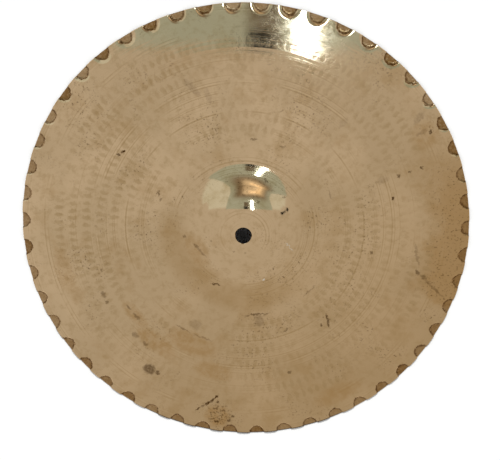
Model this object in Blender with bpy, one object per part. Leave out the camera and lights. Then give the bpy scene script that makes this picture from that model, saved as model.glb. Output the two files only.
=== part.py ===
"""One cymbal of a 14 inch hi-hat pair: a single bronze casting, rolled, formed, lathed and buffed.

From the middle out it has a rod hole, a flat seat, a domed bell whose flank turns over into a
flare, a hollow fillet at the bell's root, a gently arched bow, and a hammered edge. The hammered
edge is a ring of half-moon dents struck down through the sheet until their undersides lie in one
plane, so that air can leave between them when the pair closes. That plane is z = 0, the bell is
up, and Z is the axis that the cymbal is turned about.
"""

import math

import bmesh
import bpy

# Sizes in metres and angles in radians. Heights are those of the upper skin unless it says under.
DIAMETER = 0.3556  # 14 inches over the edge
HOLE_DIAMETER = 0.0127  # half an inch, for the pull rod and its felt
HOLE_CHAMFER = 0.0004
SEAT_DIAMETER = 0.021  # the flat round the hole that cup and felt bear on
BELL_DIAMETER = 0.118  # where the bell's fillet meets the bow
BELL_HEIGHT = 0.0203  # from the root up to the seat
FLANK_SETBACK = 0.023  # from the root in to the steepest ring of the bell
ROOT_FILLET = 0.022
BOW_RISE = 0.0137  # from the edge up to the bell's root
BOW_ROOT_SLOPE = math.radians(2.5)
BELL_WALL = 0.0016
EDGE_WALL = 0.0011

DENT_COUNT = 50
DENT_TURN = math.radians(6.7)  # where the first dent lies, from +X
DENT_WIDTH = 0.013  # along the edge
DENT_LENGTH = 0.007  # in from the edge
DENT_SHOULDER = 0.0012  # width of the slope between the sheet and a dent's floor
CONTACT_LENGTH = 0.0026  # in from the edge, the part of a dent's underside that is struck flat
EDGE_STANDOFF = 0.0009  # how far the edge between the dents stands clear of the plane they share
EDGE_PULL = 0.0003  # how far a blow draws the edge in
DENT_MARGIN = 0.002  # from the dents' inner ends in to the last plain ring

# How finely the turned form is cut into facets. The rings have 1, 2 or 4 columns for each dent.
CROWN_RINGS = 5
FLARE_RINGS = 4
FILLET_RINGS = 2
BOW_RINGS = 6
DENT_END_TURNS = (math.radians(20), math.radians(42))

EDGE_RADIUS = DIAMETER / 2
ROOT_RADIUS = BELL_DIAMETER / 2
FLANK_RADIUS = ROOT_RADIUS - FLANK_SETBACK
SEAT_RADIUS = SEAT_DIAMETER / 2
BOW_RADIUS = EDGE_RADIUS - DENT_LENGTH - DENT_MARGIN
EDGE_HEIGHT = EDGE_STANDOFF + EDGE_WALL
ROOT_HEIGHT = EDGE_HEIGHT + BOW_RISE
PITCH = 2 * math.pi / DENT_COUNT


def clear_scene():
    for found in list(bpy.data.objects):
        bpy.data.objects.remove(found, do_unlink=True)


def drop_along(arc, first_sine, last_sine):
    """Height that an arc of this radius loses between two slopes, given as sines."""
    return arc * abs(math.sqrt(1 - first_sine**2) - math.sqrt(1 - last_sine**2))


def flare_end(arc):
    """Radius at which the flare reaches the root fillet with the same slope."""
    root_sine = math.sin(BOW_ROOT_SLOPE)
    across = (root_sine * ROOT_FILLET + ROOT_RADIUS) * arc - 2 * FLANK_RADIUS * ROOT_FILLET
    return across / (arc - ROOT_FILLET)


def bell_drop(arc, radius):
    """Height lost from the seat out to a radius on the bell, for crown and flare arcs alike."""
    flank_sine = FLANK_RADIUS / arc
    drop = drop_along(arc, SEAT_RADIUS / arc, min(radius, FLANK_RADIUS) / arc)
    end = flare_end(arc)
    if radius > FLANK_RADIUS:
        drop += drop_along(arc, flank_sine, (2 * FLANK_RADIUS - min(radius, end)) / arc)
    if radius > end:
        drop += drop_along(ROOT_FILLET, (2 * FLANK_RADIUS - end) / arc, bell_sine(arc, radius))
    return drop


def bell_sine(arc, radius):
    """Sine of the bell's slope at a radius: rising to the flank, falling along flare and fillet."""
    if radius <= FLANK_RADIUS:
        return radius / arc
    if radius <= flare_end(arc):
        return (2 * FLANK_RADIUS - radius) / arc
    return math.sin(BOW_ROOT_SLOPE) + (ROOT_RADIUS - radius) / ROOT_FILLET


def arc_for_bell():
    """Radius of the crown and flare arcs that gives the bell its height, found by halving."""
    steep = FLANK_RADIUS * 1.001
    flat = FLANK_RADIUS * 50
    for _ in range(60):
        arc = (steep + flat) / 2
        if bell_drop(arc, ROOT_RADIUS) > BELL_HEIGHT:
            steep = arc
        else:
            flat = arc
    return arc


BELL_ARC = arc_for_bell()
BOW_CHORD_SLOPE = math.atan2(BOW_RISE, EDGE_RADIUS - ROOT_RADIUS)
BOW_CHORD = math.hypot(BOW_RISE, EDGE_RADIUS - ROOT_RADIUS)
BOW_ARC = BOW_CHORD / (2 * math.sin(BOW_CHORD_SLOPE - BOW_ROOT_SLOPE))


def upper_skin(radius):
    """(height, slope) of the upper skin at a radius, without dents."""
    root_sine = math.sin(BOW_ROOT_SLOPE)
    if radius <= SEAT_RADIUS:
        return ROOT_HEIGHT + BELL_HEIGHT, 0.0
    if radius <= ROOT_RADIUS:
        height = ROOT_HEIGHT + BELL_HEIGHT - bell_drop(BELL_ARC, radius)
        return height, math.asin(bell_sine(BELL_ARC, radius))
    sine = root_sine + (radius - ROOT_RADIUS) / BOW_ARC
    return ROOT_HEIGHT - drop_along(BOW_ARC, root_sine, sine), math.asin(sine)


def wall(radius):
    """Thickness of the sheet: even over the bell, then tapering to the edge."""
    share = max(0, radius - ROOT_RADIUS) / (EDGE_RADIUS - ROOT_RADIUS)
    return BELL_WALL + (EDGE_WALL - BELL_WALL) * share


def skin_point(radius, under):
    """(radius, height) on the upper skin, or on the under skin straight through the sheet."""
    height, slope = upper_skin(radius)
    if not under:
        return radius, height
    return radius - wall(radius) * math.sin(slope), height - wall(radius) * math.cos(slope)


def under_height(radius):
    """Height of the under skin straight below the upper one, without dents."""
    height, slope = upper_skin(radius)
    return height - wall(radius) / math.cos(slope)


def turned_ring(bm, radius, height, columns):
    """A ring of vertices with this many columns for each dent."""
    turns = [PITCH * (k / columns) + DENT_TURN - PITCH * 3 / 8 for k in range(DENT_COUNT * columns)]
    return [bm.verts.new((radius * math.cos(t), radius * math.sin(t), height)) for t in turns]


def dent_ring(bm, around, under):
    """One ring through the hammered edge, with four columns for each dent.

    The outer two follow the half-moon's outline and the inner two the edge of its floor. Around
    runs from 0 at the dent's inner end to a quarter turn at the edge. The floor lies as deep as
    it must for its underside to be flat along the contact length.
    """
    depth = under_height(EDGE_RADIUS - CONTACT_LENGTH)
    places = []
    for side, struck in ((-1, 0), (-1, 1), (1, 1), (1, 0)):
        length = DENT_LENGTH - struck * DENT_SHOULDER
        half_width = DENT_WIDTH / 2 - struck * DENT_SHOULDER
        radius = EDGE_RADIUS - max(length * math.cos(around), struck * EDGE_PULL)
        turn = side * half_width * math.sin(around) / EDGE_RADIUS
        drop = min(under_height(radius), struck * depth)
        height = under_height(radius) if under else upper_skin(radius)[0]
        places.append((radius, turn, height - drop))
    ring = []
    for dent in range(DENT_COUNT):
        for radius, turn, height in places:
            angle = DENT_TURN + dent * PITCH + turn
            ring.append(bm.verts.new((radius * math.cos(angle), radius * math.sin(angle), height)))
    return ring


def join_rings(bm, coarse, fine):
    """Faces between two closed rings, the second with the same columns or a multiple of them."""
    many = len(fine) // len(coarse)
    for k, here in enumerate(coarse):
        after = coarse[(k + 1) % len(coarse)]
        row = [fine[(k * many + step) % len(fine)] for step in range(many + 1)]
        if many == 1:
            bm.faces.new((here, row[0], row[1], after))
            continue
        middle = many // 2
        for step in range(many):
            bm.faces.new((here if step < middle else after, row[step], row[step + 1]))
        bm.faces.new((here, row[middle], after))


def steps_between(first, last, count):
    return [first + (last - first) * k / count for k in range(1, count + 1)]


def skin_rings(bm, under):
    """Rings of one skin from the seat to the edge."""
    hole = HOLE_DIAMETER / 2
    rings = [turned_ring(bm, hole + HOLE_CHAMFER, skin_point(0, under)[1], 1)]
    rings.append(turned_ring(bm, SEAT_RADIUS, skin_point(SEAT_RADIUS, under)[1], 1))
    flare_stop = flare_end(BELL_ARC)
    stations = [(radius, 1) for radius in steps_between(SEAT_RADIUS, FLANK_RADIUS, CROWN_RINGS)]
    stations += [(radius, 2) for radius in steps_between(FLANK_RADIUS, flare_stop, FLARE_RINGS)]
    stations += [(radius, 2) for radius in steps_between(flare_stop, ROOT_RADIUS, FILLET_RINGS)]
    stations += [(radius, 2) for radius in steps_between(ROOT_RADIUS, BOW_RADIUS, BOW_RINGS)]
    for radius, columns in stations[:-1]:
        rings.append(turned_ring(bm, *skin_point(radius, under), columns))
    rings.append(turned_ring(bm, *skin_point(BOW_RADIUS, under), 4))
    contact_turn = math.acos(CONTACT_LENGTH / (DENT_LENGTH - DENT_SHOULDER))
    for around in (*DENT_END_TURNS, contact_turn, math.pi / 2):
        rings.append(dent_ring(bm, around, under))
    return rings


def cast_bronze():
    material = bpy.data.materials.new("buffed_cast_bronze")
    material.use_nodes = True
    shader = material.node_tree.nodes["Principled BSDF"]
    shader.inputs["Base Color"].default_value = (0.44, 0.31, 0.17, 1)
    shader.inputs["Metallic"].default_value = 1.0
    shader.inputs["Roughness"].default_value = 0.28
    return material


def make_cymbal():
    """The casting as one closed shell: two skins, the hole's wall and the cut edge."""
    bm = bmesh.new()
    skins = {under: skin_rings(bm, under) for under in (False, True)}
    for rings in skins.values():
        for inner, outer in zip(rings, rings[1:]):
            join_rings(bm, inner, outer)
    hole = HOLE_DIAMETER / 2
    top = turned_ring(bm, hole, ROOT_HEIGHT + BELL_HEIGHT - HOLE_CHAMFER, 1)
    bottom = turned_ring(bm, hole, ROOT_HEIGHT + BELL_HEIGHT - BELL_WALL + HOLE_CHAMFER, 1)
    join_rings(bm, skins[False][0], top)
    join_rings(bm, top, bottom)
    join_rings(bm, bottom, skins[True][0])
    join_rings(bm, skins[False][-1], skins[True][-1])
    bmesh.ops.recalc_face_normals(bm, faces=bm.faces)
    bmesh.ops.triangulate(bm, faces=bm.faces)
    mesh = bpy.data.meshes.new("hi_hat_cymbal")
    bm.to_mesh(mesh)
    bm.free()
    mesh.shade_smooth()
    mesh.set_sharp_from_angle(angle=math.radians(30))
    mesh.materials.append(cast_bronze())
    cymbal = bpy.data.objects.new("hi_hat_cymbal", mesh)
    bpy.context.scene.collection.objects.link(cymbal)
    return cymbal


clear_scene()
make_cymbal()
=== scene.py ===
"""The looks of one loose bronze hi-hat cymbal, bell up on a pale floor, seen from almost above."""

import math

import bmesh
import bpy
from mathutils import Matrix, Vector


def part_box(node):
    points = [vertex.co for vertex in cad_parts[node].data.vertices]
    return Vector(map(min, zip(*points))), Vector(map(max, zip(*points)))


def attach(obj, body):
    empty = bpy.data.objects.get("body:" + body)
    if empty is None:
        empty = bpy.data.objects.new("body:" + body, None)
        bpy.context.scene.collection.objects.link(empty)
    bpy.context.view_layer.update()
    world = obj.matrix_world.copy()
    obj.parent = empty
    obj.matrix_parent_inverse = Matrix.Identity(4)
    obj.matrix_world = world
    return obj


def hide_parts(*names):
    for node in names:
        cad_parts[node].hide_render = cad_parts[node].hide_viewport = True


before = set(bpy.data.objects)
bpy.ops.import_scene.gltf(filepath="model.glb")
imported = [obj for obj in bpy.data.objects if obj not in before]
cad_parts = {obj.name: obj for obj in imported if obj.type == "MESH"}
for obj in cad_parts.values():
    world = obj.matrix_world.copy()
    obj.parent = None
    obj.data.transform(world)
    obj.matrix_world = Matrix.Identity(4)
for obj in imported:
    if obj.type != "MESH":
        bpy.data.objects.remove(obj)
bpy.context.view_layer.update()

# The camera stands 1.7 m off, 16 degrees from the turning axis. The lens is a long one on a
# 36 mm wide sensor, with no shift.
SENSOR = 36
LENS = 151.75
CAMERA_PLACE = Vector((0.06754, 0.45736, 1.61195))
CAMERA_RIGHT = Vector((0.99922, 0.0, -0.0395))
CAMERA_FORWARD = Vector((-0.03797, -0.27580, -0.9605))

camera_data = bpy.data.cameras.new("camera")
camera_data.sensor_width = SENSOR
camera_data.lens = LENS
camera = bpy.data.objects.new("camera", camera_data)
bpy.context.scene.collection.objects.link(camera)
backward = -CAMERA_FORWARD.normalized()
upward = backward.cross(CAMERA_RIGHT).normalized()
axes = Matrix((upward.cross(backward), upward, backward)).transposed()
camera.matrix_world = Matrix.Translation(CAMERA_PLACE) @ axes.to_4x4()
bpy.context.scene.camera = camera
bpy.context.scene.view_settings.view_transform = "Standard"

# The cymbal is one sheet of cast bronze, turned to an arched profile about its rod hole. Its skins,
# edge and hole are one closed outline, swept round by nodes that also strike the dents of the edge.
LOW, HIGH = (Vector(corner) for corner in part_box("hi_hat_cymbal"))
EDGE_RADIUS = min(HIGH.x, HIGH.y, -LOW.x, -LOW.y)
TOP = HIGH.z
HOLE_RADIUS = 0.00635
HOLE_CHAMFER = 0.0004
SEAT_RADIUS = 0.0105
FLANK_RADIUS = 0.036
FLARE_END = 0.0533
ROOT_RADIUS = 0.059
BELL_ARC = 0.0619
ROOT_SINE = math.sin(math.radians(2.5))
BOW_ARC = 0.8407
BELL_WALL = 0.0016
EDGE_WALL = 0.0011
EDGE_ROUND = 0.00025
HAMMERED_WIDTH = 0.0105
UPPER_STEPS = (18, 13, 18)
UNDER_STEPS = (8, 5, 9)

# The upper skin's arcs from the seat outwards: where each ends, and the sine of its slope there.
SEAT_SINE = SEAT_RADIUS / BELL_ARC
ARCS = (
    (FLANK_RADIUS, FLANK_RADIUS / BELL_ARC),
    (FLARE_END, (2 * FLANK_RADIUS - FLARE_END) / BELL_ARC),
    (ROOT_RADIUS, ROOT_SINE),
    (EDGE_RADIUS, ROOT_SINE + (EDGE_RADIUS - ROOT_RADIUS) / BOW_ARC),
)


def cosine(sine):
    return math.sqrt(1 - sine * sine)


def upper_skin(radius):
    """(height, sine of the slope) of the upper skin at a radius."""
    height = TOP
    if radius <= SEAT_RADIUS:
        return height, 0.0
    start, sine = SEAT_RADIUS, SEAT_SINE
    for end, end_sine in ARCS:
        arc = (end - start) / (end_sine - sine)
        reached = sine + (min(radius, end) - start) / arc
        height -= abs(arc) * abs(cosine(reached) - cosine(sine))
        if radius <= end:
            break
        start, sine = end, end_sine
    return height, reached


def wall(radius):
    share = max(0, radius - ROOT_RADIUS) / (EDGE_RADIUS - ROOT_RADIUS)
    return BELL_WALL + (EDGE_WALL - BELL_WALL) * share


def under_point(radius):
    """(radius, height) on the under skin, straight through the sheet."""
    height, sine = upper_skin(radius)
    return radius - wall(radius) * sine, height - wall(radius) * cosine(sine)


def under_height(radius):
    """Height of the under skin straight below the upper one."""
    height, sine = upper_skin(radius)
    return height - wall(radius) / cosine(sine)


def steps(first, last, count):
    return [first + (last - first) * k / count for k in range(count)]


def skin_radii(bell, bow, hammered):
    """Radii of one skin's rings, from the hole's chamfer to the rounding of the edge."""
    start = EDGE_RADIUS - HAMMERED_WIDTH
    radii = [HOLE_RADIUS + HOLE_CHAMFER]
    radii += steps(SEAT_RADIUS, ROOT_RADIUS, bell)
    radii += steps(ROOT_RADIUS, start, bow)
    radii += steps(start, EDGE_RADIUS - EDGE_ROUND, hammered)
    return radii + [EDGE_RADIUS - EDGE_ROUND]


edge_top = upper_skin(EDGE_RADIUS)[0]
edge_low = under_height(EDGE_RADIUS)
outline = [(radius, upper_skin(radius)[0]) for radius in skin_radii(*UPPER_STEPS)]
outline += [(EDGE_RADIUS, edge_top - EDGE_ROUND), (EDGE_RADIUS, edge_low + EDGE_ROUND)]
outline += [under_point(radius) for radius in reversed(skin_radii(*UNDER_STEPS))]
outline += [(HOLE_RADIUS, TOP - BELL_WALL + HOLE_CHAMFER), (HOLE_RADIUS, TOP - HOLE_CHAMFER)]

profile_mesh = bpy.data.meshes.new("cymbal_profile")
profile = bmesh.new()
# The swept profile's Y points down the turning axis.
corners = [profile.verts.new((radius - EDGE_RADIUS, -height, 0)) for radius, height in outline]
for k, corner in enumerate(corners):
    profile.edges.new((corner, corners[(k + 1) % len(corners)]))
profile.to_mesh(profile_mesh)
profile.free()
cymbal_maker = bpy.data.objects.new("cymbal_maker", profile_mesh)
bpy.context.scene.collection.objects.link(cymbal_maker)


def add_node(tree, kind, inputs=(), output=0, **settings):
    """Adds a node with its settings, sets or links its inputs, and returns one output.

    The inputs are values or other nodes' outputs, in order, or in a dict by name or number.
    """
    node = tree.nodes.new(kind)
    for name, setting in settings.items():
        setattr(node, name, setting)
    given = inputs.items() if isinstance(inputs, dict) else enumerate(inputs)
    for key, value in given:
        if isinstance(value, bpy.types.NodeSocket):
            tree.links.new(value, node.inputs[key])
        else:
            node.inputs[key].default_value = value
    return node.outputs[output] if node.outputs else node


def share_of(tree, *factors):
    """The product of its factors, mostly how much of a place is covered.

    A factor (value, start, end, low, high) goes smoothly from low, where the value is at start,
    to high, where it is at end. Without low and high it goes from 0 to 1.
    """
    share = 1.0
    for factor in factors:
        if isinstance(factor, tuple):
            factor = add_node(
                tree, "ShaderNodeMapRange", factor, interpolation_type="SMOOTHSTEP"
            )
        share = add_node(tree, "ShaderNodeMath", (share, factor), operation="MULTIPLY")
    return share


def polar(tree, position):
    """Distance from the turning axis and turn about it, from a position."""
    x = add_node(tree, "ShaderNodeSeparateXYZ", (position,))
    y = x.node.outputs[1]
    flat = add_node(tree, "ShaderNodeCombineXYZ", (x, y))
    radius = add_node(tree, "ShaderNodeVectorMath", (flat,), output=1, operation="LENGTH")
    return radius, add_node(tree, "ShaderNodeMath", (y, x), operation="ARCTAN2")


def half_moon(tree, radius, turn, sizes):
    """How far a place lies inside the outline of the nearest dent, that dent's number, and how
    far the place lies in from the edge."""
    edge = sizes["Edge radius"]
    pitch = add_node(tree, "ShaderNodeMath", (math.tau, sizes["Dents"]), operation="DIVIDE")
    ahead = add_node(tree, "ShaderNodeMath", (turn, sizes["First dent"]), operation="SUBTRACT")
    places = add_node(tree, "ShaderNodeMath", (ahead, pitch), operation="DIVIDE")
    nearest = add_node(tree, "ShaderNodeMath", (places,), operation="ROUND")
    off_dent = add_node(tree, "ShaderNodeMath", (places, nearest), operation="SUBTRACT")
    along = share_of(tree, off_dent, pitch, edge)
    inward = add_node(tree, "ShaderNodeMath", (edge, radius), operation="SUBTRACT")
    across = add_node(tree, "ShaderNodeMath", (along, sizes["Half width"]), operation="DIVIDE")
    deep = add_node(tree, "ShaderNodeMath", (inward, sizes["Length"]), operation="DIVIDE")
    reach = add_node(tree, "ShaderNodeCombineXYZ", (across, deep))
    reach = add_node(tree, "ShaderNodeVectorMath", (reach,), output=1, operation="LENGTH")
    inset = add_node(tree, "ShaderNodeMath", (1.0, reach), operation="SUBTRACT")
    inset = share_of(tree, inset, sizes["Length"])
    number = add_node(
        tree, "ShaderNodeMath", (nearest, sizes["Dents"]), operation="FLOORED_MODULO"
    )
    return inset, number, inward


# A dent is a half-moon struck down from the edge inwards until its underside lies flat on the
# floor. The sheet round it is drawn down a little, and its edge is pulled in. The blows differ in
# strength, from a fixed seed.
CONTACT_LENGTH = 0.0026
CLEAR_LENGTH = 0.0045
CONTACT_HEIGHT = under_height(EDGE_RADIUS - CONTACT_LENGTH)
DENT_SIZES = {
    "Columns": 1150,
    "Dents": 50,
    "First dent": math.radians(6.7),
    "Edge radius": EDGE_RADIUS,
    "Half width": 0.0064,
    "Length": 0.0070,
    "Shoulder": 0.0013,
    "Depth": CONTACT_HEIGHT,
    "Edge standoff": edge_low,
    "Edge slope": (under_height(EDGE_RADIUS - CLEAR_LENGTH) - edge_low) / CLEAR_LENGTH,
    "Edge pull": 0.0003,
    "Pulled width": 0.002,
    "Drawn depth": 0.00036,
    "Drawn width": 0.0024,
    "Weakest blow": 0.9,
    "Strongest blow": 1.04,
    "Seed": 7,
}
sweep = bpy.data.node_groups.new("sweep_and_hammer", "GeometryNodeTree")
sweep.interface.new_socket("Geometry", in_out="INPUT", socket_type="NodeSocketGeometry")
for name, size in DENT_SIZES.items():
    kind = "NodeSocketInt" if isinstance(size, int) else "NodeSocketFloat"
    sweep.interface.new_socket(name, in_out="INPUT", socket_type=kind)
sweep.interface.new_socket("Material", in_out="INPUT", socket_type="NodeSocketMaterial")
sweep.interface.new_socket("Geometry", in_out="OUTPUT", socket_type="NodeSocketGeometry")
given = sweep.nodes.new("NodeGroupInput").outputs

loop = add_node(sweep, "GeometryNodeMeshToCurve", {"Mesh": given["Geometry"]})
circle = {"Resolution": given["Columns"], "Radius": given["Edge radius"]}
around = add_node(sweep, "GeometryNodeCurvePrimitiveCircle", circle)
swept = add_node(sweep, "GeometryNodeCurveToMesh", {"Curve": around, "Profile Curve": loop})
place = add_node(sweep, "GeometryNodeInputPosition")
radius, turn = polar(sweep, place)
inset, number, inward = half_moon(sweep, radius, turn, given)
struck = share_of(sweep, (inset, 0.0, given["Shoulder"]))
blow = add_node(
    sweep,
    "FunctionNodeRandomValue",
    {
        "Min": given["Weakest blow"],
        "Max": given["Strongest blow"],
        "ID": number,
        "Seed": given["Seed"],
    },
    output=1,
    data_type="FLOAT",
)
pressed = share_of(sweep, struck, given["Depth"], blow)
outside = add_node(sweep, "ShaderNodeMath", (given["Drawn width"], -1.0), operation="MULTIPLY")
drawn = share_of(sweep, (inset, outside, 0.0), given["Drawn depth"])
drop = add_node(sweep, "ShaderNodeMath", (pressed, drawn), operation="ADD")
standoff = (inward, given["Edge slope"], given["Edge standoff"])
standoff = add_node(sweep, "ShaderNodeMath", standoff, operation="MULTIPLY_ADD")
drop = add_node(sweep, "ShaderNodeMath", (drop, standoff), operation="MINIMUM")
pull = share_of(sweep, struck, (inward, given["Pulled width"], 0.0), given["Edge pull"])
shrink = add_node(sweep, "ShaderNodeMath", (pull, radius), operation="DIVIDE")
shrink = add_node(sweep, "ShaderNodeMath", (1.0, shrink), operation="SUBTRACT")
shrink = add_node(sweep, "ShaderNodeCombineXYZ", (shrink, shrink, 1.0))
pulled = add_node(sweep, "ShaderNodeVectorMath", (place, shrink), operation="MULTIPLY")
drop = add_node(sweep, "ShaderNodeCombineXYZ", {"Z": drop})
lowered = add_node(sweep, "ShaderNodeVectorMath", (pulled, drop), operation="SUBTRACT")
hammered = {"Geometry": swept, "Position": lowered}
hammered = add_node(sweep, "GeometryNodeSetPosition", hammered)
real = add_node(sweep, "GeometryNodeRealizeInstances", {"Geometry": hammered})
finished = {"Geometry": real, "Material": given["Material"]}
finished = add_node(sweep, "GeometryNodeSetMaterial", finished)
add_node(sweep, "NodeGroupOutput", {"Geometry": finished})


def linear(code):
    """Scene colour of an sRGB hex code."""
    channels = [int(code[k : k + 2], 16) / 255 for k in (1, 3, 5)]
    return (*(c / 12.92 if c <= 0.04045 else ((c + 0.055) / 1.055) ** 2.4 for c in channels), 1.0)


# Buffed cast bronze: a warm mirror, dulled by turning rings, by rows of hammer marks from the
# forming and by handling marks. The dents of the edge, which the buff never reached, are brown.
BRONZE = linear("#E4C498")
BRONZE_WORN = linear("#F5D3A6")
BRONZE_BROWN = linear("#C69F69")
HAMMER_SHADE = linear("#BA9864")
DENT_BROWN = linear("#976E3C")
DENT_STEP_SHADE = linear("#563515")
MARK_BROWN = linear("#5A390E")
STAIN_BROWN = linear("#C69A60")
UNDER_PAINTED_SHADE = linear("#685236")
RIM_PAINTED_SHADE = linear("#2E2112")
SCRAPE_AND_GLINT_WHITE = linear("#FFF8E8")

bronze = bpy.data.materials.new("buffed_cast_bronze")
bronze.use_nodes = True
metal = bronze.node_tree
metal.nodes.clear()
coordinates = add_node(metal, "ShaderNodeTexCoord", output=3)
radius, turn = polar(metal, coordinates)
y = add_node(metal, "ShaderNodeSeparateXYZ", (coordinates,), output=1)

# Turning rings, and the bands in which the tool dug deeper: pitch, detail, and where the noise
# along the radius starts. The real feed is finer, and is drawn as coarse as it needs to show.
RINGS = {
    "fine": (0.0013, 2.0, 0.0),
    "broad": (0.0027, 1.0, 0.0),
    "bands": (0.016, 1.0, 0.5),
}
rings = {}
for name, (pitch, detail, start) in RINGS.items():
    distance = add_node(metal, "ShaderNodeMath", (radius, start), operation="ADD")
    waves = {"W": distance, "Scale": 1 / pitch, "Detail": detail}
    rings[name] = add_node(metal, "ShaderNodeTexNoise", waves, noise_dimensions="1D")

# Unevenness of the metal and of its wear: size of the patches in metres, detail and roughness.
PATCHES = {
    "worn": (0.075, 3.0, 0.5),
    "hammer wear": (0.055, 2.0, 0.5),
    "ringed": (0.036, 2.0, 0.5),
    "speckled": (0.030, 3.0, 0.5),
    "clouds": (0.022, 4.0, 0.6),
    "smears": (0.006, 4.0, 0.65),
    "specks": (0.0017, 2.0, 0.7),
}
patches = {}
for name, (size, detail, rough) in PATCHES.items():
    lumps = {"Vector": coordinates, "Scale": 1 / size, "Detail": detail, "Roughness": rough}
    patches[name] = add_node(metal, "ShaderNodeTexNoise", lumps)
clouds = patches["clouds"]
smears = patches["smears"]
specks = patches["specks"]
ringed = share_of(metal, (rings["bands"], 0.36, 0.58), (patches["ringed"], 0.42, 0.60))

# A darker brown towards one edge, and brown film in a fan at one side, where the specks are thick
# too. Round one side of the bell's root is painted shade. Clouds make their borders uneven.
BROWNER_TOWARDS = (0.62, -0.78, 0.0)
ROOT_SHADE_TOWARDS = (-0.5, -1.0, 0.0)
FAN_TURNS = [math.radians(degrees) for degrees in (-16, -12, 14, 38)]
browner_run = (coordinates, BROWNER_TOWARDS)
browner_run = add_node(metal, "ShaderNodeVectorMath", browner_run, output=1, operation="DOT_PRODUCT")
browner_run = add_node(metal, "ShaderNodeMath", (clouds, 0.08, browner_run), operation="MULTIPLY_ADD")
root_shade_run = (coordinates, ROOT_SHADE_TOWARDS)
root_shade_run = add_node(metal, "ShaderNodeVectorMath", root_shade_run, output=1, operation="DOT_PRODUCT")
fan_turn = add_node(metal, "ShaderNodeMath", (clouds, 0.30, turn), operation="MULTIPLY_ADD")
fan_run = add_node(metal, "ShaderNodeMath", (clouds, 0.045, radius), operation="MULTIPLY_ADD")
side_film = share_of(
    metal,
    (fan_turn, FAN_TURNS[0], FAN_TURNS[1]),
    (fan_turn, FAN_TURNS[3], FAN_TURNS[2]),
    (fan_run, 0.156, 0.184),
)
speckled = share_of(metal, (patches["speckled"], 0.44, 0.70))
speckled = add_node(metal, "ShaderNodeMath", (speckled, side_film), operation="MAXIMUM")

# Hammer marks from the forming: rings of short radial dashes, each ring with its own count. The
# marks wander off their places, are worn faint in patches, and show a little stronger towards one
# side.
HAMMER_FIRST = 0.081
HAMMER_LAST = 0.151
HAMMER_PITCH = 0.0112
HAMMER_SPACING = 0.0060
HAMMER_BORDER = 0.006
ROW_STAGGER = 0.37
ROW_WANDER = 0.006
BLOW_WANDER = 1.1
DASH_HALF_SIZE = (0.30, 0.0038, 1.0)
CLEAREST_SIDE = math.radians(195)

row = (radius, 1 / HAMMER_PITCH, -HAMMER_FIRST / HAMMER_PITCH)
row = add_node(metal, "ShaderNodeMath", row, operation="MULTIPLY_ADD")
row = add_node(metal, "ShaderNodeMath", (row,), operation="ROUND")
row_radius = (row, HAMMER_PITCH, HAMMER_FIRST)
row_radius = add_node(metal, "ShaderNodeMath", row_radius, operation="MULTIPLY_ADD")
row_count = share_of(metal, row_radius, math.tau / HAMMER_SPACING)
row_count = add_node(metal, "ShaderNodeMath", (row_count,), operation="ROUND")
off_row = add_node(metal, "ShaderNodeMath", (radius, row_radius), operation="SUBTRACT")
off_row = add_node(metal, "ShaderNodeMath", (off_row, ROW_WANDER / 2), operation="SUBTRACT")
off_row = (clouds, ROW_WANDER, off_row)
off_row = add_node(metal, "ShaderNodeMath", off_row, operation="MULTIPLY_ADD")
stagger = (row, ROW_STAGGER, -BLOW_WANDER / 2)
stagger = add_node(metal, "ShaderNodeMath", stagger, operation="MULTIPLY_ADD")
stagger = (smears, BLOW_WANDER, stagger)
stagger = add_node(metal, "ShaderNodeMath", stagger, operation="MULTIPLY_ADD")
turns = add_node(metal, "ShaderNodeMath", (turn, math.tau), operation="DIVIDE")
blow = add_node(metal, "ShaderNodeMath", (turns, row_count, stagger), operation="MULTIPLY_ADD")
off_blow = add_node(metal, "ShaderNodeMath", (blow,), operation="FRACT")
off_blow = add_node(metal, "ShaderNodeMath", (off_blow, 0.5), operation="SUBTRACT")
dash = add_node(metal, "ShaderNodeCombineXYZ", (off_blow, off_row))
dash = add_node(metal, "ShaderNodeVectorMath", (dash, DASH_HALF_SIZE), operation="DIVIDE")
dash = add_node(metal, "ShaderNodeVectorMath", (dash, dash), output=1, operation="DOT_PRODUCT")
blow_mark = share_of(
    metal,
    (dash, 1.35, 0.25),
    (radius, HAMMER_FIRST - HAMMER_BORDER, HAMMER_FIRST),
    (radius, HAMMER_LAST + HAMMER_BORDER, HAMMER_LAST),
)
clearest_side = add_node(metal, "ShaderNodeMath", (turn, CLEAREST_SIDE), operation="SUBTRACT")
clearest_side = add_node(metal, "ShaderNodeMath", (clearest_side,), operation="COSINE")
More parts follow.
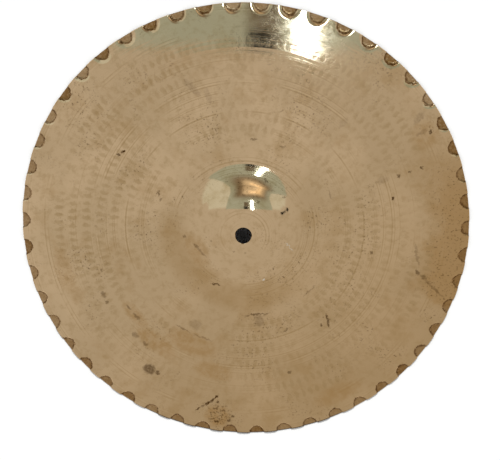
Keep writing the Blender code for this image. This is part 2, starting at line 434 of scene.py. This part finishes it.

# Handling marks, listed one by one: turn in degrees, distance from the axis, half length round the
# axis and half width across it in millimetres, lean in degrees, and how dark. A shared noise makes
# their borders ragged.
MARKS = (
    (147.5, 113, 1.6, 1.1, 30, 1.0), (149.5, 114.5, 1.2, 0.8, 0, 0.9),
    (11.8, 119, 1.4, 1.0, 0, 0.9), (28, 164.5, 1.3, 1.3, 0, 0.8), (286.5, 127, 1.2, 0.8, 0, 0.7),
    (19.5, 128, 1.2, 0.8, 0, 0.8), (19.5, 137, 1.2, 0.8, 0, 0.7), (19.5, 147, 1.6, 0.9, 0, 0.8),
    (349, 102, 1.3, 0.9, 0, 0.6), (311, 101, 5.5, 0.7, 62, 0.75), (307.5, 101, 1.2, 0.9, 0, 0.7),
    (291, 91, 2.6, 0.5, 25, 0.5), (157.5, 73, 2.0, 0.8, 40, 0.6),
    (237.5, 144, 4.6, 3.6, 10, 0.72), (240.5, 143, 2.0, 1.6, 0, 0.7),
    (260.9, 146.5, 2.3, 0.8, 58, 0.95), (259.8, 150, 1.8, 0.7, 58, 0.9),
    (258.7, 153.5, 2.4, 1.0, 40, 1.0), (257.4, 157, 1.6, 0.6, 52, 0.8),
    (256.3, 160.5, 2.2, 0.8, 52, 0.9), (261.5, 151, 1.2, 0.8, 0, 0.8),
    (262, 169, 2.4, 1.2, 0, 0.7), (265.5, 167, 1.6, 1.2, 0, 0.6), (266.5, 163, 1.4, 1.0, 0, 0.7),
    (278, 72, 9.0, 0.5, 0, 0.62), (315, 72.5, 6.5, 0.5, 0, 0.35), (278.5, 77, 3.6, 4.6, 0, 0.30),
    (244, 90, 4.5, 3.5, 0, 0.20), (240, 98, 6.0, 0.5, 0, 0.40), (250, 98, 7.0, 0.5, 0, 0.34),
    (345, 142, 2.4, 1.2, 40, 0.6), (344, 148, 2.0, 1.2, 0, 0.5),
    (342, 156, 14.0, 0.9, 62, 0.34), (351, 138, 9.0, 0.9, 20, 0.30), (341, 162, 3.0, 0.8, 60, 0.5),
    (33, 162, 2.6, 4.5, 20, 0.24), (29, 158, 1.4, 4.4, 0, 0.24), (110, 119, 2.4, 7.0, 25, 0.22),
    (105, 110, 2.2, 5.0, 0, 0.18), (20, 115, 2.4, 4.2, 0, 0.18), (48, 115, 2.4, 3.6, 0, 0.16),
    (23, 73, 4.0, 0.5, 0, 0.30), (66, 73, 2.6, 0.6, 0, 0.42), (84, 73, 2.8, 0.6, 0, 0.5),
    (205, 38, 6.5, 0.9, 20, 0.36), (198, 40, 1.6, 1.6, 0, 0.5), (187, 47.5, 1.2, 0.8, 0, 0.5),
    (242.5, 51, 2.4, 0.9, 20, 0.85), (246, 50.5, 1.0, 0.8, 0, 0.8), (308, 38, 0.8, 0.8, 0, 0.7),
    (276, 14.5, 0.9, 0.9, 0, 0.35), (240, 15, 1.1, 0.9, 0, 0.35), (67, 44, 1.6, 0.9, 0, 0.6),
    (67, 28, 1.4, 0.8, 0, 0.5), (42, 42, 1.4, 0.8, 0, 0.5), (90, 31, 1.4, 0.8, 0, 0.35),
    (152, 55, 0.7, 0.7, 0, 0.5), (157, 60, 0.8, 0.6, 0, 0.5), (161, 70, 0.9, 0.7, 0, 0.5),
    (207, 127, 3.0, 1.4, 0, 0.45), (210, 128, 1.6, 1.0, 0, 0.5), (221, 115, 3.0, 1.2, 0, 0.45),
    (216, 115, 2.0, 1.0, 0, 0.5), (226, 127, 3.0, 1.6, 0, 0.40), (231, 127, 2.2, 1.2, 0, 0.4),
)
STAINS = (
    (246, 106, 19.0, 8.0, 0, 0.55), (234, 121, 17.0, 6.0, 0, 0.60), (220, 115, 13.0, 4.0, 0, 0.5),
    (258, 124, 14.0, 6.0, 0, 0.45), (262, 164, 9.0, 8.0, 0, 0.75), (204, 40, 12.0, 7.0, 0, 0.45),
    (195, 150, 18.0, 6.0, 0, 0.3), (298, 160, 18.0, 6.0, 0, 0.45), (28, 160, 10.0, 8.0, 0, 0.4),
)
SPECKLED_PATCH = ((262.5, 162, 8.0, 8.0, 0, 0.55),)
# The first is a painted highlight, a lamp's glint on the bell; the second is a pale scratch.
SCRAPE_AND_GLINT = ((291, 43, 0.9, 0.7, 0, 1.0), (341, 38, 4.5, 0.35, 50, 0.5))
RAGGED_SIZE = 0.0024
RAGGED_DEPTH = 0.0052
METRE = 1000

# The noise eats into the marks, so they are drawn somewhat larger than their half sizes. A spot
# starts and is full at these squares of the distance from its middle, in half sizes.
WIDE_GROWTH = 1 / 0.8
LONG_GROWTH = 1 / 0.9
SPOT_START = 1.56
SPOT_FULL = 0.30

ragged = {"Vector": coordinates, "Scale": 1 / RAGGED_SIZE, "Detail": 3.0, "Roughness": 0.6}
ragged = add_node(metal, "ShaderNodeTexNoise", ragged, output=1)
ragged = (ragged, (0.5, 0.5, 0.5))
ragged = add_node(metal, "ShaderNodeVectorMath", ragged, operation="SUBTRACT")
ragged = (ragged, (RAGGED_DEPTH, RAGGED_DEPTH, 0.0), coordinates)
ragged = add_node(metal, "ShaderNodeVectorMath", ragged, operation="MULTIPLY_ADD")


def spots(marks):
    """How much of the marks covers a place. Where they meet, the darkest wins."""
    covered = 0.0
    for degrees, distance, long, wide, lean, darkness in marks:
        middle = Matrix.Rotation(math.radians(degrees), 3, "Z") @ Vector((distance, 0, 0))
        lie = Matrix.Rotation(math.radians(degrees + lean), 3, "Z")
        reach = 0.0
        for side, half_size in ((0, wide * WIDE_GROWTH), (1, long * LONG_GROWTH)):
            axis = lie.col[side] / half_size
            off = (ragged, axis * METRE)
            off = add_node(metal, "ShaderNodeVectorMath", off, output=1, operation="DOT_PRODUCT")
            off = add_node(metal, "ShaderNodeMath", (off, middle.dot(axis)), operation="SUBTRACT")
            reach = add_node(metal, "ShaderNodeMath", (off, off, reach), operation="MULTIPLY_ADD")
        spot = share_of(metal, (reach, SPOT_START, SPOT_FULL, 0.0, darkness))
        covered = add_node(metal, "ShaderNodeMath", (spot, covered), operation="MAXIMUM")
    return covered


marked = share_of(metal, spots(MARKS), (specks, 0.34, 0.52, 0.60, 1.0))

# The dents' floors are brown and vary from dent to dent. A darker line inside is painted shade.
DENT_WANDER = 0.0042
dent_inset, dent_number, _ = half_moon(metal, radius, turn, DENT_SIZES)
dent_inset = add_node(metal, "ShaderNodeMath", (dent_inset, DENT_WANDER / 2), operation="SUBTRACT")
dent_inset = (smears, DENT_WANDER, dent_inset)
dent_inset = add_node(metal, "ShaderNodeMath", dent_inset, operation="MULTIPLY_ADD")
dent_tone = {"W": dent_number}
dent_tone = add_node(metal, "ShaderNodeTexWhiteNoise", dent_tone, noise_dimensions="1D")
dent_floor = share_of(metal, (dent_inset, -0.0002, 0.0005))

# The under skin is painted a darker brown, as painted shade that keeps the view through the rod
# hole dark. The thin wall of the edge is darker still, painted shade, and so is a line above it on
# the side away from the camera, a painted shadow under the rim.
facing = add_node(metal, "ShaderNodeNewGeometry", output=1)
facing = add_node(metal, "ShaderNodeSeparateXYZ", (facing,), output=2)
under = share_of(metal, (facing, 0.1, -0.1))
upright = add_node(metal, "ShaderNodeMath", (facing,), operation="ABSOLUTE")
wall_painted_shade = share_of(metal, (upright, 0.75, 0.35))
rim_painted_shadow = share_of(metal, (y, -0.150, -0.166, 0.0, 0.8))
rim = add_node(metal, "ShaderNodeMath", (wall_painted_shade, rim_painted_shadow), operation="MAXIMUM")

# The colours one over the other, from the clean bronze up: each with the factors of its share.
LAYERS = (
    (BRONZE_WORN, (patches["worn"], 0.40, 0.68)),
    (BRONZE_WORN, (radius, 0.056, 0.040, 0.0, 0.55)),
    (BRONZE_BROWN, (clouds, 0.50, 0.72), 0.42),
    (HAMMER_SHADE, (smears, 0.46, 0.70), 0.34),
    (HAMMER_SHADE, (rings["fine"], 0.52, 0.70), ringed, 0.46),
    (BRONZE_WORN, (rings["fine"], 0.46, 0.32), ringed, 0.45),
    (BRONZE_BROWN, (browner_run, -0.03, 0.22, 0.0, 0.54)),
    # Painted shade round one side of the bell's root.
    (
        BRONZE_BROWN,
        (radius, 0.036, 0.052),
        (radius, 0.074, 0.060),
        (root_shade_run, 0.0, 0.05, 0.05, 0.55),
        (clouds, 0.25, 0.65, 0.5, 1.0),
    ),
    (STAIN_BROWN, side_film, 0.62),
    (MARK_BROWN, (specks, 0.575, 0.68), speckled, 0.60),
    (
        HAMMER_SHADE,
        blow_mark,
        (patches["hammer wear"], 0.38, 0.66, 0.18, 1.0),
        (clearest_side, -0.4, 0.9, 0.85, 1.0),
        0.42,
    ),
    (STAIN_BROWN, spots(STAINS), (smears, 0.34, 0.60, 0.45, 1.0)),
    (MARK_BROWN, marked),
    (MARK_BROWN, spots(SPECKLED_PATCH), (specks, 0.50, 0.60)),
    # A painted glint on the bell, and a pale scratch.
    (SCRAPE_AND_GLINT_WHITE, spots(SCRAPE_AND_GLINT)),
    (DENT_BROWN, dent_floor, (dent_tone, 0.0, 1.0, 0.55, 1.0), (specks, 0.30, 0.60, 0.70, 1.0)),
    # Painted shade along the step at each dent's inner edge.
    (DENT_STEP_SHADE, dent_floor, (dent_inset, 0.0022, 0.0007), (specks, 0.34, 0.62, 0.15, 0.85)),
    # Painted shade: the under skin made dark, so that the rod hole looks dark.
    (UNDER_PAINTED_SHADE, under),
    # Painted shade on the edge's wall, and a painted shadow along the rim away from the camera.
    (RIM_PAINTED_SHADE, rim, (radius, EDGE_RADIUS - 0.0013, EDGE_RADIUS - 0.0005)),
)
colour = BRONZE
for tint, *factors in LAYERS:
    covering = {0: share_of(metal, *factors), 6: colour, 7: tint}
    colour = add_node(metal, "ShaderNodeMix", covering, output=2, data_type="RGBA")

# Relief of the hammer marks, turning rings and waves, as heights in metres. It is shallower on
# the bell.
RELIEF = (
    (blow_mark, -0.000010),
    (rings["fine"], 0.000016),
    (rings["broad"], 0.000034),
    (clouds, 0.000010),
)
relief = 0.0
for pattern, height in RELIEF:
    relief = add_node(
        metal, "ShaderNodeMath", (pattern, height, relief), operation="MULTIPLY_ADD"
    )
relief = share_of(metal, relief, (radius, 0.050, 0.066, 0.25, 1.0))
relief = {"Height": relief, "Distance": 1.0, "Strength": 1.0}
bumped = add_node(metal, "ShaderNodeBump", relief)

# The buffed metal is smooth, and duller under the sheet, in the dents and a little in the marks.
MARKS_DULLED = 0.3
DULLED_ROUGHNESS = 0.20
dulled = under
for dull in (dent_floor, share_of(metal, marked, MARKS_DULLED)):
    dulled = add_node(metal, "ShaderNodeMath", (dulled, dull), operation="MAXIMUM")
buffed = share_of(
    metal, (smears, 0.30, 0.75, 0.065, 0.12), (radius, 0.045, 0.066, 0.75, 1.15)
)
roughness = (dulled, DULLED_ROUGHNESS, buffed)
roughness = add_node(metal, "ShaderNodeMath", roughness, operation="MULTIPLY_ADD")

# The highlights are drawn out round the axis, the way that the turning rings run.
grain = ((0.0, 0.0, 1.0), coordinates)
grain = add_node(metal, "ShaderNodeVectorMath", grain, operation="CROSS_PRODUCT")
grain = add_node(metal, "ShaderNodeVectorMath", (grain,), operation="NORMALIZE")
surface = {
    "Base Color": colour,
    "Metallic": 1.0,
    "Roughness": roughness,
    "Anisotropic": 0.5,
    "Tangent": grain,
    "Normal": bumped,
}
surface = add_node(metal, "ShaderNodeBsdfPrincipled", surface)
add_node(metal, "ShaderNodeOutputMaterial", {"Surface": surface})

# The swept sheet as a plain closed mesh, with its seam merged and its corners sharp.
MERGE_DISTANCE = 1e-7
SHARP_ANGLE = math.radians(35)

modifier = cymbal_maker.modifiers.new("sweep_and_hammer", "NODES")
modifier.node_group = sweep
for item in sweep.interface.items_tree:
    if item.in_out == "INPUT" and item.name in DENT_SIZES:
        modifier[item.identifier] = DENT_SIZES[item.name]
    elif item.in_out == "INPUT" and item.name == "Material":
        modifier[item.identifier] = bronze
evaluated = cymbal_maker.evaluated_get(bpy.context.evaluated_depsgraph_get())
cymbal_mesh = bpy.data.meshes.new_from_object(evaluated)
bpy.data.objects.remove(cymbal_maker)
shell = bmesh.new()
shell.from_mesh(cymbal_mesh)
bmesh.ops.remove_doubles(shell, verts=shell.verts, dist=MERGE_DISTANCE)
bmesh.ops.recalc_face_normals(shell, faces=shell.faces)
shell.to_mesh(cymbal_mesh)
shell.free()
cymbal_mesh.shade_smooth()
cymbal_mesh.set_sharp_from_angle(angle=SHARP_ANGLE)
cymbal = bpy.data.objects.new("bronze_cymbal", cymbal_mesh)
bpy.context.scene.collection.objects.link(cymbal)
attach(cymbal, "root")
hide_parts("hi_hat_cymbal")

# The floor is a sheet of pale matt paper, under even white studio light. One soft lamp beyond the
# top of the picture gives the thin shadow under the opposite rim. The bronze doesn't mirror it.
FLOOR_HALF = 4.0
FLOOR_WHITE = linear("#F7F7F6")
LIGHT_STRENGTH = 0.53
SUN_STRENGTH = 2.55
SUN_HEIGHT = math.radians(45)
SUN_WIDTH = math.radians(8)

world = bpy.data.worlds.new("studio")
bpy.context.scene.world = world
world.use_nodes = True
studio_light = world.node_tree.nodes["Background"].inputs
studio_light["Color"].default_value = (1.0, 1.0, 1.0, 1.0)
studio_light["Strength"].default_value = LIGHT_STRENGTH

sun_data = bpy.data.lights.new("soft_lamp", "SUN")
sun_data.energy = SUN_STRENGTH
sun_data.angle = SUN_WIDTH
sun = bpy.data.objects.new("soft_lamp", sun_data)
sun.rotation_euler = (SUN_HEIGHT - math.pi / 2, 0, 0)
sun.visible_glossy = False
bpy.context.scene.collection.objects.link(sun)


def add_sheet(name, left, right, near, far, height, material):
    """A level rectangle of the stage."""
    mesh = bpy.data.meshes.new(name)
    rectangle = ((left, near), (right, near), (right, far), (left, far))
    mesh.from_pydata([(x, y, height) for x, y in rectangle], [], [(0, 1, 2, 3)])
    mesh.materials.append(material)
    sheet = bpy.data.objects.new(name, mesh)
    bpy.context.scene.collection.objects.link(sheet)
    return sheet


paper = bpy.data.materials.new("pale_floor_paper")
paper.use_nodes = True
paper_shader = paper.node_tree.nodes["Principled BSDF"]
paper_shader.inputs["Base Color"].default_value = FLOOR_WHITE
paper_shader.inputs["Roughness"].default_value = 0.9
paper_shader.inputs["Specular IOR Level"].default_value = 0.0
add_sheet("floor", -FLOOR_HALF, FLOOR_HALF, -FLOOR_HALF, FLOOR_HALF, 0.0, paper)

# What the bronze mirrors: one end of a room over the top of the picture, as level cards with soft
# borders that only its reflections see. Later cards cover earlier ones. Each has its left, right,
# near and far sides in metres, its colour, its strength beside the studio light, and its border.
CARD_HEIGHT = 0.387
CARD_GAP = 0.001
CARDS = (
    ("pale_wall_left", -0.66, -0.17, 0.176, 1.6, "#EBF8FF", 1.42, 0.05),
    ("pale_wall_right", 0.34, 0.60, 0.176, 1.6, "#EBF8FF", 1.42, 0.05),
    ("green_wall", -0.23, 0.37, 0.176, 1.6, "#DEF5FC", 1.06, 0.010),
    ("green_wall_far", -0.21, 0.37, 0.27, 1.6, "#C2B7A6", 0.78, 0.13),
    ("warm_glow", -0.08, 0.31, 0.35, 0.56, "#FFF6E6", 1.36, 0.09),
    ("warm_lamp", 0.03, 0.24, 0.41, 0.49, "#FFF0DA", 2.4, 0.038),
    ("shelves", -0.014, 0.044, 0.178, 0.27, "#A8A496", 0.75, 0.006),
    ("dark_shelf", -0.012, 0.030, 0.176, 0.208, "#23231F", 0.20, 0.004),
    ("dark_stand", 0.54, 0.63, 0.12, 0.165, "#404038", 0.30, 0.006),
    ("window", 0.064, 0.096, 0.168, 0.30, "#C3DEFF", 56.0, 0.010),
)


def card_material(name, left, right, near, far, colour, strength, border):
    """A glow of one colour that fades out over the card's border."""
    material = bpy.data.materials.new(name)
    material.use_nodes = True
    tree = material.node_tree
    tree.nodes.clear()
    x = add_node(tree, "ShaderNodeTexCoord", output=3)
    x = add_node(tree, "ShaderNodeSeparateXYZ", (x,))
    y = x.node.outputs[1]
    cover = share_of(
        tree,
        (x, left, left + border),
        (x, right, right - border),
        (y, near, near + border),
        (y, far, far - border),
    )
    glow = {"Color": linear(colour), "Strength": strength * LIGHT_STRENGTH}
    glow = add_node(tree, "ShaderNodeEmission", glow)
    clear = add_node(tree, "ShaderNodeBsdfTransparent")
    shown = add_node(tree, "ShaderNodeMixShader", (cover, clear, glow))
    add_node(tree, "ShaderNodeOutputMaterial", {"Surface": shown})
    return material


for k, (name, left, right, near, far, colour, strength, border) in enumerate(CARDS):
    material = card_material(name, left, right, near, far, colour, strength, border)
    card = add_sheet(name, left, right, near, far, CARD_HEIGHT - k * CARD_GAP, material)
    card.visible_camera = False
    card.visible_diffuse = False
    card.visible_transmission = False
    card.visible_volume_scatter = False
    card.visible_shadow = False
